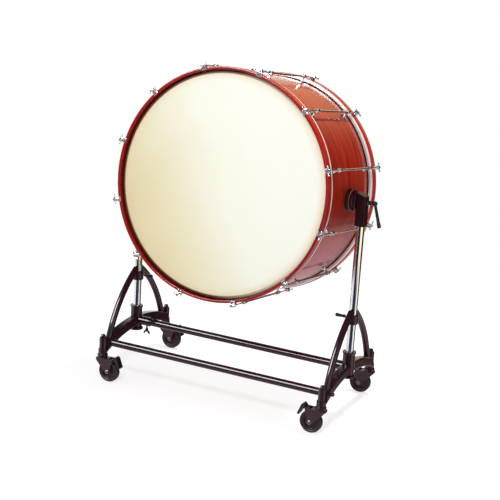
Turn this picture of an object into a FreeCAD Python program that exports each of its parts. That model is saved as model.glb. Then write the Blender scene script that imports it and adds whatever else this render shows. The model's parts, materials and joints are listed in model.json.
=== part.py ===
import FreeCAD, Part
import os
import re

import Sketcher

# A concert bass drum that hangs by two trunnions in a tilting stand on four braked casters.
# Millimetres. +Z is up, +X runs along the trunnions, -Y is the front. The origin is on the floor,
# below the middle of the drum.

Vector = FreeCAD.Vector
Rotation = FreeCAD.Rotation
Placement = FreeCAD.Placement
SIDEWAYS = Vector(1, 0, 0)
BACKWARDS = Vector(0, 1, 0)
UP = Vector(0, 0, 1)

# Driving dimensions: alias, size, meaning
DIMENSIONS = [
    ("fit", 0.05, "radial play between pieces that slide, turn or seat"),
    ("shell_radius", 457, "outside of the wooden shell"),
    ("shell_wall", 9, "thickness of the shell"),
    ("shell_length", 500, "shell from edge to edge"),
    ("rib_width", 40, "reinforcing ring along the axis"),
    ("rib_thickness", 8, "reinforcing ring across the axis"),
    ("film", 1, "thickness of the drum head"),
    ("film_gap", 3, "head collar off the shell"),
    ("film_bend", 8, "bend of the drum head over the shell's edge"),
    ("film_drop", 34, "depth of the head collar"),
    ("flesh_width", 17.5, "flesh hoop along the axis"),
    ("flesh_thickness", 11, "flesh hoop across the axis"),
    ("hoop_gap", 6, "counterhoop off the shell"),
    ("hoop_thickness", 12, "counterhoop across the axis"),
    ("hoop_width", 38, "counterhoop along the axis"),
    ("hoop_reach", 20, "counterhoop face beyond the shell edge"),
    ("hoop_round", 3, "rounding of the counterhoop's edges"),
    ("stations", 12, "tension stations round the drum"),
    ("station_radius", 485, "circle of the tension rods"),
    ("lug_spread", 165, "lug post from the middle of the shell"),
    ("lug_foot", 11, "radius of a lug post's foot"),
    ("lug_neck", 5.5, "radius of a lug post's neck"),
    ("barrel_radius", 7.5, "barrel at the top of a lug post"),
    ("barrel_length", 24, "barrel along the tension rod"),
    ("tube_radius", 4.5, "lug tube outside"),
    ("tube_wall", 1.1, "lug tube wall"),
    ("lug_screw", 2.4, "radius of a lug screw"),
    ("lug_screw_grip", 13, "lug screw's length inside the post"),
    ("screw_head", 5.5, "radius of a lug screw's head"),
    ("head_depth", 4, "depth of a screw head"),
    ("rod_radius", 3.2, "tension rod"),
    ("rod_start", 145, "inner end of a tension rod"),
    ("grip_place", 284, "T-grip from the middle of the drum"),
    ("grip_half", 21, "half the length of a T-grip"),
    ("grip_radius", 3, "T-grip bar"),
    ("grip_hub", 6, "boss of the T-grip"),
    ("claw_width", 20, "claw along the hoop"),
    ("claw_plate", 3.3, "thickness of a claw"),
    ("claw_depth", 33, "claw along the axis"),
    ("claw_boss", 14, "depth of the claw's boss"),
    ("claw_short", 2.5, "claw's end from the hoop's inner edge"),
    ("trunnion_radius", 44, "trunnion plate and friction disc"),
    ("trunnion_face", 467, "outer face of the trunnion plate"),
    ("flange_radius", 40, "flange between plate and washer"),
    ("flange_face", 472, "outer face of the flange"),
    ("washer_radius", 42, "friction washer"),
    ("washer_thickness", 3, "friction washer"),
    ("disc_thickness", 12, "friction disc"),
    ("disc_boss", 36, "radius of the friction disc's boss"),
    ("pin_radius", 8, "trunnion pin"),
    ("thread_radius", 6, "threaded end of the trunnion pin"),
    ("thread_length", 20, "threaded end of the trunnion pin"),
    ("bolt_circle", 31, "trunnion bolts from the pin axis"),
    ("bolt_radius", 4, "trunnion bolt"),
    ("bolt_head", 7, "trunnion bolt head"),
    ("backing_thickness", 8, "plate behind the trunnion, inside the shell"),
    ("axis_height", 912, "trunnion axis above the floor"),
    ("tilt", 6.65, "front head's upward tilt, degrees"),
    ("half_span", 519, "height post from the middle of the stand"),
    ("post_radius", 17.5, "height post outside"),
    ("post_wall", 2.5, "height post wall"),
    ("post_foot", 178, "lower end of the height post"),
    ("block_length", 40, "post head along the trunnion axis"),
    ("block_depth", 45, "post head front to back"),
    ("block_below", 99, "post head below the trunnion axis"),
    ("block_above", 38, "post head above the trunnion axis, next to the drum"),
    ("block_shoulder", 22, "post head above the trunnion axis, at its outer face"),
    ("block_crown", 10, "rounding of the post head's outer shoulder"),
    ("block_socket", 69, "depth of the post's socket"),
    ("block_round", 4, "rounding of the post head"),
    ("lever_hub", 8, "radius of the tilt lever's hub"),
    ("lever_reach", 33, "ball of the tilt lever from the post head"),
    ("lever_ball", 10.5, "ball of the tilt lever"),
    ("lever_length", 100, "tilt lever from ball to tip"),
    ("lever_lean", 16, "tilt lever's outward lean, degrees"),
    ("lever_radius", 6, "tilt lever at the ball"),
    ("lever_tip", 8, "tilt lever at the tip"),
    ("collar_low", 396, "underside of the apex collar"),
    ("collar_high", 434, "top of the apex collar"),
    ("collar_radius", 25, "apex collar outside"),
    ("bush_wall", 3.5, "plastic bush in the apex collar"),
    ("lock_radius", 4, "thread of a lock screw"),
    ("lock_place", 421, "height of the collar lock screw"),
    ("lock_reach", 36, "collar lock screw's shoulder from the post axis"),
    ("paddle_length", 40, "flat grip of a lock screw"),
    ("paddle_width", 15, "flat grip of a lock screw"),
    ("paddle_thickness", 5, "flat grip of a lock screw"),
    ("hub_radius", 26, "post hub"),
    ("hub_low", 162, "underside of the post hub"),
    ("hub_high", 275, "top of the post hub"),
    ("hub_floor", 176, "floor inside the post hub"),
    ("hub_flange", 32, "flange under the post hub"),
    ("hub_rim", 29, "rolled rim of the post hub"),
    ("rim_depth", 7, "flange and rim of the post hub"),
    ("crossbar_height", 206, "centre crossbar"),
    ("crossbar_radius", 16, "crossbars outside"),
    ("crossbar_wall", 2, "crossbars' wall"),
    ("crossbar_gap", 27, "end of the centre crossbar from the post axis"),
    ("socket_radius", 20, "crossbar socket on the post hub"),
    ("socket_reach", 77, "mouth of the crossbar socket from the post axis"),
    ("wing_place", 58, "crossbar lock screw from the post axis"),
    ("wing_drop", 36, "crossbar lock screw's shoulder below the crossbar"),
    ("wing_length", 24, "wing of the crossbar lock screw"),
    ("arch_bend", 532, "radius of an arch leg's curve"),
    ("arch_offset", 279, "arch curve's centre beyond the post axis"),
    ("arch_height", 7, "arch curve's centre above the floor"),
    ("arch_low", 17, "start of the arch leg, degrees above level"),
    ("arch_sweep", 39, "arch leg, degrees"),
    ("arch_radius", 14, "arch tube outside"),
    ("arch_wall", 2, "arch tube wall"),
    ("bar_width", 40, "lower arch bar across"),
    ("bar_depth", 42, "lower arch bar up and down"),
    ("bar_crown", 203, "lower arch bar's centreline at its crown"),
    ("bar_bend", 650, "radius of the lower arch bar's curve"),
    ("bar_half", 262, "half the lower arch bar, front to back"),
    ("bar_round", 7, "rounding of the lower arch bar"),
    ("front_place", 236, "front crossbar in front of the post axis"),
    ("front_height", 165, "front crossbar"),
    ("plug_depth", 20, "solid end of the front crossbar"),
    ("end_bolt", 5, "crossbar bolt"),
    ("end_head", 8.5, "crossbar bolt head"),
    ("end_head_depth", 20, "crossbar bolt head"),
    ("corner_place", 270, "corner post in front of or behind the post axis"),
    ("corner_radius", 16, "corner post outside"),
    ("corner_wall", 3, "corner post wall"),
    ("corner_low", 118, "lower end of the corner post"),
    ("corner_high", 192, "upper end of the corner post"),
    ("cap_high", 209, "top of the corner cap"),
    ("cap_radius", 10, "dome of the corner cap"),
    ("socket_low", 110, "underside of the caster socket"),
    ("socket_flange", 23, "flange of the caster socket"),
    ("socket_sleeve", 19.5, "sleeve of the caster socket"),
    ("sleeve_top", 142, "top of the caster socket's sleeve"),
    ("insert_top", 150, "top of the caster socket's insert"),
    ("stem_radius", 5.6, "caster stem"),
    ("stem_top", 148, "top of the caster stem"),
    ("race_radius", 21, "swivel race of the caster fork"),
    ("race_top", 109.5, "top of the swivel race"),
    ("fork_top", 105, "top of the fork's plate"),
    ("fork_half", 20, "half the fork's width"),
    ("fork_plate", 3, "fork plate thickness"),
    ("trail", 37, "wheel axle from the swivel axis"),
    ("wheel_radius", 47.5, "caster wheel"),
    ("tyre_width", 26, "tyre"),
    ("rim_radius", 34, "wheel rim under the tyre"),
    ("axle_radius", 6, "axle bolt"),
    ("axle_head", 9, "axle bolt head"),
    ("pedal_place", 53, "brake pivot from the swivel axis"),
    ("pedal_height", 97, "brake pivot above the floor"),
    ("pedal_pin", 3, "brake pivot pin"),
    ("pedal_width", 30, "brake pedal across"),
]

# Sizes that follow from the driving dimensions
DERIVED = {
    "shell_edge": "shell_length / 2",
    "shell_inside": "shell_radius - shell_wall",
    "hoop_inside": "shell_radius + hoop_gap",
    "hoop_outside": "hoop_inside + hoop_thickness",
    "hoop_face": "shell_edge + hoop_reach",
    "hoop_back": "hoop_face - hoop_width",
    "collar_inside": "shell_radius + film_gap",
    "collar_outside": "collar_inside + film",
    "flesh_inside": "collar_outside + fit",
    "flesh_outside": "flesh_inside + flesh_thickness",
    "washer_face": "flange_face + fit + washer_thickness",
    "disc_face": "washer_face + fit - half_span",
    "disc_back": "disc_face + disc_thickness",
    "block_face": "half_span - block_length / 2",
    "pin_end": "half_span + block_length / 2 + thread_length",
    "bush_radius": "post_radius + bush_wall",
    "outer_bend": "bar_bend + bar_depth / 2",
    "inner_bend": "bar_bend - bar_depth / 2",
    "bend_centre": "bar_crown - bar_bend",
    "front_half": "half_span - bar_width / 2 - fit",
    "corner_inside": "corner_radius - corner_wall",
    "ball_place": "block_length / 2 + lever_reach",
}

doc = FreeCAD.newDocument("bass_drum")
sheet = doc.addObject("Spreadsheet::Sheet", "dims")
for row, (alias, size, meaning) in enumerate(DIMENSIONS, start=1):
    sheet.set(f"A{row}", alias)
    sheet.set(f"B{row}", str(size))
    sheet.set(f"C{row}", meaning)
    sheet.setAlias(f"B{row}", alias)
doc.recompute()
ALIASES = {alias for alias, _, _ in DIMENSIONS}


def formula(text):
    """The text with every size name turned into a reference to its cell in the sheet."""
    def refer(match):
        word = match[0]
        if word in DERIVED:
            return "(" + formula(DERIVED[word]) + ")"
        return "dims." + word if word in ALIASES else word
    return re.sub(r"[a-z_]+", refer, str(text))


def number(text):
    """The present size of a formula."""
    return float(sheet.evalExpression(formula(text)))


def bind(item, prop, text):
    item.setExpression(prop, formula(text))


# ---------------------------------------------------------------- sketches and features

def new_body(label):
    body = doc.addObject("PartDesign::Body", label)
    body.Label = label
    body.AllowCompound = True
    return body


def origin_feature(body, role):
    return next(item for item in body.Origin.OriginFeatures if item.Role == role)


def new_sketch(body, plane, along="0", across="0", off="0", turn=None):
    """A sketch on one of the body's origin planes, moved in the plane and off it."""
    sketch = body.newObject("Sketcher::SketchObject", body.Label + "_sketch")
    sketch.AttachmentSupport = [(origin_feature(body, plane), "")]
    sketch.MapMode = "FlatFace"
    if turn:
        sketch.AttachmentOffset = Placement(Vector(), turn)
    for letter, text in zip("xyz", (along, across, off)):
        if text != "0":
            bind(sketch, "AttachmentOffset.Base." + letter, text)
    return sketch


def dimension(sketch, kind, places, text):
    index = sketch.addConstraint(Sketcher.Constraint(kind, *places, number(text)))
    bind(sketch, f"Constraints[{index}]", text)


def pin_down(sketch, item, point, across, up):
    """Fixes one point of the sketch at its distances from the sketch's origin."""
    for kind, axis, text in (("DistanceX", -2, across), ("DistanceY", -1, up)):
        if abs(number(text)) < 1e-9:
            sketch.addConstraint(Sketcher.Constraint("PointOnObject", item, point, axis))
        else:
            dimension(sketch, kind, (-1, 1, item, point), text)


def outline(sketch, corners):
    """A closed outline of straight lines through the corners."""
    first = sketch.GeometryCount
    places = [Vector(number(across), number(up), 0) for across, up in corners]
    for start, end in zip(places, places[1:] + places[:1]):
        sketch.addGeometry(Part.LineSegment(start, end), False)
    for index in range(len(corners)):
        after = first + (index + 1) % len(corners)
        sketch.addConstraint(Sketcher.Constraint("Coincident", first + index, 2, after, 1))
        pin_down(sketch, first + index, 1, *corners[index])


def circle(sketch, radius, across="0", up="0"):
    centre = Vector(number(across), number(up), 0)
    item = sketch.addGeometry(Part.Circle(centre, UP, number(radius)), False)
    pin_down(sketch, item, 3, across, up)
    dimension(sketch, "Radius", (item,), radius)


def curved_bar(sketch, outer, inner, half):
    """The side view of a cambered bar: two arcs about one centre and two upright ends."""
    middle = Vector(0, number("bend_centre"), 0)
    arcs = []
    for radius in (outer, inner):
        size = number(radius)
        lean = number(half) / size
        rise = (1 - lean ** 2) ** 0.5
        left = middle + Vector(-lean, rise, 0) * size
        right = middle + Vector(lean, rise, 0) * size
        top = middle + Vector(0, size, 0)
        item = sketch.addGeometry(Part.Arc(right, top, left), False)
        pin_down(sketch, item, 3, "0", "bend_centre")
        dimension(sketch, "Radius", (item,), radius)
        dimension(sketch, "DistanceX", (-1, 1, item, 1), half)
        dimension(sketch, "DistanceX", (-1, 1, item, 2), "-" + half)
        arcs.append((item, left, right))
    (upper, upper_left, upper_right), (lower, lower_left, lower_right) = arcs
    for point, high, low in ((1, upper_right, lower_right), (2, upper_left, lower_left)):
        line = sketch.addGeometry(Part.LineSegment(high, low), False)
        sketch.addConstraint(Sketcher.Constraint("Coincident", line, 1, upper, point))
        sketch.addConstraint(Sketcher.Constraint("Coincident", line, 2, lower, point))


def add_feature(body, kind, sketch):
    feature = body.newObject("PartDesign::" + kind, f"{body.Label}_{kind.lower()}")
    feature.Profile = sketch
    return feature


def turn(body, sketch, kind="Revolution", axis="H_Axis", angle="360"):
    feature = add_feature(body, kind, sketch)
    feature.ReferenceAxis = (sketch, [axis])
    bind(feature, "Angle", angle)
    return feature


def pad(body, sketch, length, both_ways=True):
    feature = add_feature(body, "Pad", sketch)
    feature.SideType = "Symmetric" if both_ways else "One side"
    bind(feature, "Length", length)
    return feature


def pocket(body, sketch, length, towards_normal=None):
    """A cut: both ways from the sketch, or one way along or against its normal."""
    before = solid_volume(body)
    feature = add_feature(body, "Pocket", sketch)
    feature.SideType = "Symmetric" if towards_normal is None else "One side"
    feature.Reversed = bool(towards_normal)
    bind(feature, "Length", length)
    doc.recompute()
    if solid_volume(body) > before - 1:
        raise RuntimeError(f"{body.Label}: a pocket cuts nothing")


def groove(body, corners, plane="YZ_Plane", **place):
    """A cut turned about the sketch's horizontal axis."""
    before = solid_volume(body)
    sketch = new_sketch(body, plane, **place)
    outline(sketch, corners)
    turn(body, sketch, "Groove")
    doc.recompute()
    if solid_volume(body) > before - 1:
        raise RuntimeError(f"{body.Label}: a groove cuts nothing")


def solid_volume(body):
    doc.recompute()
    return body.Shape.Volume


def turned(label, corners, plane="YZ_Plane", axis="H_Axis", **place):
    """A new body made on a lathe: the outline turned about an axis of its sketch."""
    body = new_body(label)
    add_turned(body, corners, plane, axis, **place)
    return body


def add_turned(body, corners, plane="YZ_Plane", axis="H_Axis", **place):
    sketch = new_sketch(body, plane, **place)
    outline(sketch, corners)
    turn(body, sketch, axis=axis)


def rounded(body, radius, wanted, kind="Fillet"):
    """Rounds, or chamfers, the edges that pass the test."""
    doc.recompute()
    base = body.Tip
    names = [f"Edge{i}" for i, edge in enumerate(base.Shape.Edges, start=1) if wanted(edge)]
    if not names:
        raise RuntimeError(f"{body.Label}: no edge to round")
    feature = body.newObject("PartDesign::" + kind, f"{body.Label}_{kind.lower()}")
    feature.Base = (base, names)
    bind(feature, "Radius" if kind == "Fillet" else "Size", radius)


def repeat(body, kind, **settings):
    feature = body.newObject("PartDesign::" + kind, f"{body.Label}_{kind.lower()}")
    feature.TransformMode = "Whole shape"
    for prop, value in settings.items():
        setattr(feature, prop, value)
    body.Tip = feature
    return feature


def mirror(body, plane):
    repeat(body, "Mirrored", MirrorPlane=(origin_feature(body, plane), [""]))


def round_the_drum(body):
    """Copies the body to every tension station."""
    feature = repeat(body, "PolarPattern", Axis=(origin_feature(body, "Y_Axis"), [""]), Angle=360)
    bind(feature, "Occurrences", "stations")


def is_circle(edge, radius=None, place=None):
    """Whether the edge is round, has this radius and lies at this place along the drum."""
    if not isinstance(edge.Curve, Part.Circle):
        return False
    right_size = radius is None or abs(edge.Curve.Radius - number(radius)) < 0.01
    right_place = place is None or abs(edge.Curve.Center.y - number(place)) < 0.01
    return right_size and right_place


def is_straight(edge, direction):
    """Whether the edge is a straight line along the direction."""
    if not isinstance(edge.Curve, Part.Line):
        return False
    return edge.tangentAt(edge.FirstParameter).cross(direction).Length < 1e-6


# ---------------------------------------------------------------- places

def drum_place(spin=0.0, turned_round=False):
    """The drum hangs tilted on the trunnion axis; spin turns a piece to its station."""
    lean = Rotation(SIDEWAYS, -number("tilt"))
    swap = Rotation(UP, 180 if turned_round else 0)
    station = Rotation(BACKWARDS, spin)
    return Placement(Vector(0, 0, number("axis_height")), lean * swap * station)


def side_place(side):
    """The right-hand pieces stand as drawn, the left-hand ones are turned half round."""
    across = number("half_span") * (1 if side == "right" else -1)
    half_turn = Rotation(UP, 0 if side == "right" else 180)
    return Placement(Vector(across, 0, 0), half_turn)


HALF_STATION = 180 / number("stations")


# ---------------------------------------------------------------- drum

def make_shell():
    body = turned("shell", [
        ("-shell_edge", "shell_inside"), ("shell_edge", "shell_inside"),
        ("shell_edge", "shell_radius"), ("-shell_edge", "shell_radius")])
    rounded(body, "shell_wall / 3", lambda edge: is_circle(edge, "shell_inside"), "Chamfer")
    rounded(body, "film_bend - film_gap", lambda edge: is_circle(edge, "shell_radius"), "Chamfer")
    lug_holes = new_sketch(body, "XY_Plane", turn=Rotation(BACKWARDS, HALF_STATION))
    for side in ("", "-"):
        circle(lug_holes, "lug_screw + 2 * fit", up=side + "lug_spread")
    pocket(body, lug_holes, "shell_radius + film", towards_normal=True)
    pattern = body.newObject("PartDesign::PolarPattern", "shell_stations")
    pattern.Originals = [body.Tip]
    pattern.Axis = (origin_feature(body, "Y_Axis"), [""])
    bind(pattern, "Occurrences", "stations")
    body.Tip = pattern
    bolt_holes = new_sketch(body, "YZ_Plane")
    bolt_circles(bolt_holes, "bolt_radius + 2 * fit")
    pocket(body, bolt_holes, "2 * shell_radius + 2 * film")
    body.Placement = drum_place()


def bolt_circles(sketch, radius):
    """Four circles, one to each quarter, on the trunnion's bolt circle."""
    reach = "bolt_circle * sqrt(0.5)"
    for across in ("", "-"):
        for up in ("", "-"):
            circle(sketch, radius, across + reach, up + reach)


def make_reinforcing_rings():
    body = turned("reinforcing_rings", [
        ("shell_edge - rib_width", "shell_inside - rib_thickness"),
        ("shell_edge - shell_wall / 2", "shell_inside - rib_thickness"),
        ("shell_edge - shell_wall / 2", "shell_inside - fit"),
        ("shell_edge - rib_width", "shell_inside - fit")])
    mirror(body, "XZ_Plane")
    body.Placement = drum_place()


def make_head(end):
    """A plastic head: a flat film whose collar runs down into the flesh hoop."""
    body = turned(end + "_head", [
        ("shell_edge + fit + film", "0"), ("shell_edge + fit + film", "collar_outside"),
        ("shell_edge - film_drop", "collar_outside"), ("shell_edge - film_drop", "collar_inside"),
        ("shell_edge + fit", "collar_inside"), ("shell_edge + fit", "0")])
    rounded(body, "film_bend + film", lambda edge: is_circle(edge, "collar_outside", "shell_edge + fit + film"))
    rounded(body, "film_bend", lambda edge: is_circle(edge, "collar_inside", "shell_edge + fit"))
    body.Placement = drum_place(turned_round=end == "front")


def make_flesh_hoop(end):
    body = turned(end + "_flesh_hoop", [
        ("hoop_back - fit - flesh_width", "flesh_inside"), ("hoop_back - fit", "flesh_inside"),
        ("hoop_back - fit", "flesh_outside"), ("hoop_back - fit - flesh_width", "flesh_outside")])
    rounded(body, "flesh_thickness / 4", lambda edge: is_circle(edge, "flesh_outside"))
    body.Placement = drum_place(turned_round=end == "front")


def make_hoop(end):
    body = turned(end + "_hoop", [
        ("hoop_back", "hoop_inside"), ("hoop_face", "hoop_inside"),
        ("hoop_face", "hoop_outside"), ("hoop_back", "hoop_outside")])
    rounded(body, "hoop_round", lambda edge: is_circle(edge, place="hoop_face"))
    rounded(body, "hoop_round / 2", lambda edge: is_circle(edge, "hoop_outside", "hoop_back"))
    body.Placement = drum_place(turned_round=end == "front")


def make_lug_posts():
    """A turned foot and neck with a cross barrel that holds the end of the lug tube."""
    body = turned("lug_posts", [
        ("lug_screw + 2 * fit", "shell_radius + 3 * fit"), ("lug_foot", "shell_radius + 3 * fit"),
        ("lug_foot", "shell_radius + 3"), ("lug_neck + 1.5", "shell_radius + 6"),
        ("lug_neck", "shell_radius + 12"), ("lug_neck", "station_radius - barrel_radius / 2"),
        ("0", "station_radius - barrel_radius / 2"), ("0", "shell_radius + lug_screw_grip + 1"),
        ("lug_screw + 2 * fit", "shell_radius + lug_screw_grip + 1")],
        axis="V_Axis", along="lug_spread")
    end = new_sketch(body, "XZ_Plane", across="station_radius", off="-lug_spread")
    circle(end, "barrel_radius")
    pad(body, end, "barrel_length")
    rounded(body, "barrel_radius / 4", lambda edge: is_circle(edge, "barrel_radius"))
    bore = new_sketch(body, "XZ_Plane", across="station_radius", off="-lug_spread")
    circle(bore, "tube_radius + fit")
    pocket(body, bore, "2 * barrel_length")
    mirror(body, "XZ_Plane")
    round_the_drum(body)
    body.Placement = drum_place(HALF_STATION)


def make_lug_tubes():
    body = new_body("lug_tubes")
    ring = new_sketch(body, "XZ_Plane", across="station_radius")
    circle(ring, "tube_radius")
    circle(ring, "tube_radius - tube_wall")
    pad(body, ring, "2 * lug_spread + barrel_length")
    round_the_drum(body)
    body.Placement = drum_place(HALF_STATION)


def make_lug_screws():
    body = turned("lug_screws", [
        ("0", "shell_inside - head_depth - fit"), ("screw_head - 1", "shell_inside - head_depth - fit"),
        ("screw_head", "shell_inside - head_depth + 1"), ("screw_head", "shell_inside - fit"),
        ("lug_screw", "shell_inside - fit"), ("lug_screw", "shell_radius + lug_screw_grip"),
        ("0", "shell_radius + lug_screw_grip")],
        axis="V_Axis", along="lug_spread")
    mirror(body, "XZ_Plane")
    round_the_drum(body)
    body.Placement = drum_place(HALF_STATION)


def make_claws():
    """A plate over the hoop's face, with a boss outside the hoop for the tension rod."""
    body = new_body("claws")
    side = new_sketch(body, "YZ_Plane")
    outline(side, [
        ("hoop_face + fit", "hoop_inside + claw_short"), ("hoop_face + 1.5", "hoop_inside + claw_short"),
        ("hoop_face + claw_plate", "hoop_inside + claw_short + 1.5"),
        ("hoop_face + claw_plate", "station_radius + 8"),
        ("hoop_face + claw_plate - claw_boss", "station_radius + 8"),
        ("hoop_face + claw_plate - claw_boss - 3", "hoop_outside + claw_plate + 2"),
        ("hoop_face + claw_plate - claw_depth + 4", "hoop_outside + claw_plate"),
        ("hoop_face + claw_plate - claw_depth", "hoop_outside + claw_plate - 1"),
        ("hoop_face + claw_plate - claw_depth", "hoop_outside + fit"),
        ("hoop_face + fit", "hoop_outside + fit")])
    pad(body, side, "claw_width")
    boss_edge = number("hoop_outside + claw_plate - 1")
    rounded(body, "claw_plate / 2", lambda edge: edge.CenterOfMass.z > boss_edge and edge.Length > 12.5
            and not is_straight(edge, SIDEWAYS), "Chamfer")
    hole = new_sketch(body, "XZ_Plane", across="station_radius", off="-hoop_face")
    circle(hole, "rod_radius + 2 * fit")
    pocket(body, hole, "2 * claw_depth")
    mirror(body, "XZ_Plane")
    round_the_drum(body)
    body.Placement = drum_place(HALF_STATION)


def make_tension_rods():
    """A rod with a shoulder on the claw and a T-grip whose ends are thicker than its middle."""
    body = turned("tension_rods", [
        ("rod_start", "0"), ("rod_start", "rod_radius"),
        ("hoop_face + claw_plate + fit", "rod_radius"), ("hoop_face + claw_plate + fit", "grip_hub + 1"),
        ("hoop_face + claw_plate + 2", "grip_hub + 1"), ("hoop_face + claw_plate + 4", "grip_hub - 1"),
        ("grip_place - grip_hub", "grip_hub"), ("grip_place + grip_hub - 1", "grip_hub"),
        ("grip_place + grip_hub + 1", "grip_hub - 2"), ("grip_place + grip_hub + 1", "0")],
        across="station_radius")
    add_turned(body, [
        ("-grip_half", "0"), ("-grip_half", "grip_radius - 1"), ("1 - grip_half", "grip_radius + 1"),
        ("4 - grip_half", "grip_radius + 1"), ("6 - grip_half", "grip_radius"),
        ("grip_half - 6", "grip_radius"), ("grip_half - 4", "grip_radius + 1"),
        ("grip_half - 1", "grip_radius + 1"), ("grip_half", "grip_radius - 1"), ("grip_half", "0")],
        plane="XY_Plane", across="grip_place", off="station_radius")
    mirror(body, "XZ_Plane")
    round_the_drum(body)
    body.Placement = drum_place(HALF_STATION)


def make_trunnions():
    """A saddle plate with its pin, seen from the side as drawn for the right-hand end."""
    body = new_body("trunnions")
    plate = new_sketch(body, "YZ_Plane", off="shell_inside + shell_wall / 2")
    circle(plate, "trunnion_radius")
    pad(body, plate, "trunnion_face - shell_inside - shell_wall / 2", both_ways=False)
    groove(body, [
        ("-2 * trunnion_radius", "shell_inside - shell_wall"), ("2 * trunnion_radius", "shell_inside - shell_wall"),
        ("2 * trunnion_radius", "shell_radius + fit"), ("-2 * trunnion_radius", "shell_radius + fit")])
    rounded(body, "1.5", lambda edge: is_circle(edge, "trunnion_radius"), "Chamfer")
    add_turned(body, [
        ("trunnion_face - 1", "0"), ("trunnion_face - 1", "flange_radius - 2"),
        ("trunnion_face", "flange_radius"), ("flange_face - 1", "flange_radius"),
        ("flange_face", "flange_radius - 1"), ("flange_face", "pin_radius"),
        ("pin_end - thread_length", "pin_radius"), ("pin_end - thread_length", "thread_radius"),
        ("pin_end - 1", "thread_radius"), ("pin_end", "thread_radius - 1"), ("pin_end", "0")],
        plane="XZ_Plane")
    holes = new_sketch(body, "YZ_Plane", off="flange_face - 4")
    bolt_circles(holes, "bolt_radius + 2 * fit")
    pocket(body, holes, "3 * shell_wall")
    repeat(body, "PolarPattern", Axis=(origin_feature(body, "Z_Axis"), [""]), Angle=360, Occurrences=2)
    body.Placement = drum_place()


def make_backing_plates():
    body = new_body("backing_plates")
    plate = new_sketch(body, "YZ_Plane", off="shell_inside - backing_thickness")
    circle(plate, "trunnion_radius - 2")
    pad(body, plate, "backing_thickness + 1", both_ways=False)
    groove(body, [
        ("-2 * trunnion_radius", "shell_inside - fit"), ("2 * trunnion_radius", "shell_inside - fit"),
        ("2 * trunnion_radius", "shell_radius"), ("-2 * trunnion_radius", "shell_radius")])
    holes = new_sketch(body, "YZ_Plane", off="shell_inside")
    bolt_circles(holes, "bolt_radius + 2 * fit")
    pocket(body, holes, "4 * backing_thickness")
    repeat(body, "PolarPattern", Axis=(origin_feature(body, "Z_Axis"), [""]), Angle=360, Occurrences=2)
    body.Placement = drum_place()


def make_trunnion_bolts():
    reach = "bolt_circle * sqrt(0.5)"
    body = turned("trunnion_bolts", [
        ("shell_inside - backing_thickness - head_depth", "0"),
        ("shell_inside - backing_thickness - head_depth", "bolt_head - 1"),
        ("shell_inside - backing_thickness - head_depth + 1", "bolt_head"),
        ("shell_inside - backing_thickness - fit", "bolt_head"),
        ("shell_inside - backing_thickness - fit", "bolt_radius"),
        ("flange_face - 5", "bolt_radius"), ("flange_face - 5", "0")],
        plane="XZ_Plane", across=reach, off=reach)
    mirror(body, "XZ_Plane")
    mirror(body, "XY_Plane")
    mirror(body, "YZ_Plane")
    body.Placement = drum_place()


def make_friction_washers():
    body = turned("friction_washers", [
        ("flange_face + fit", "pin_radius + fit"), ("washer_face", "pin_radius + fit"),
        ("washer_face", "washer_radius"), ("flange_face + fit", "washer_radius")],
        plane="XZ_Plane")
    mirror(body, "YZ_Plane")
    body.Placement = drum_place()


# ---------------------------------------------------------------- height posts and levers

def make_post(side):
    body = turned(side + "_post", [
        ("post_radius - post_wall", "post_foot"), ("post_radius", "post_foot"),
        ("post_radius", "axis_height - block_below + block_socket - fit"),
        ("post_radius - post_wall", "axis_height - block_below + block_socket - fit")],
        plane="XZ_Plane", axis="V_Axis")
    body.Placement = side_place(side)


def make_post_head(side):
    """A block whose top falls away outward, bored for the trunnion pin and, from below, for the post."""
    body = new_body(side + "_post_head")
    front = new_sketch(body, "XZ_Plane")
    outline(front, [
        ("-block_length / 2", "axis_height - block_below"), ("block_length / 2", "axis_height - block_below"),
        ("block_length / 2", "axis_height + block_shoulder"), ("-block_length / 2", "axis_height + block_above")])
    pad(body, front, "block_depth")
    foot = number("axis_height - block_below")
    rounded(body, "block_crown", lambda edge: is_straight(edge, BACKWARDS) and edge.CenterOfMass.x > 0
            and edge.CenterOfMass.z > foot + 1)
    rounded(body, "block_round", lambda edge: abs(edge.CenterOfMass.y) > 1 and edge.CenterOfMass.z > foot + 1)
    bore = new_sketch(body, "YZ_Plane")
    circle(bore, "pin_radius + fit", up="axis_height")
    pocket(body, bore, "2 * block_length")
    socket = new_sketch(body, "XY_Plane", off="axis_height - block_below")
    circle(socket, "post_radius + fit")
    pocket(body, socket, "block_socket", towards_normal=True)
    body.Placement = side_place(side)


def make_friction_disc(side):
    body = turned(side + "_friction_disc", [
        ("disc_face", "pin_radius + fit"), ("disc_face", "trunnion_radius - 1"),
        ("disc_face + 1", "trunnion_radius"), ("disc_back - 2", "trunnion_radius"),
        ("disc_back", "trunnion_radius - 3"), ("disc_back", "disc_boss + 1"), ("disc_back + 1", "disc_boss"),
        ("-block_length / 2 - 2", "disc_boss"), ("-block_length / 2 - fit", "disc_boss - 2"),
        ("-block_length / 2 - fit", "pin_radius + fit")],
        plane="XZ_Plane", across="axis_height")
    body.Placement = side_place(side)


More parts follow.
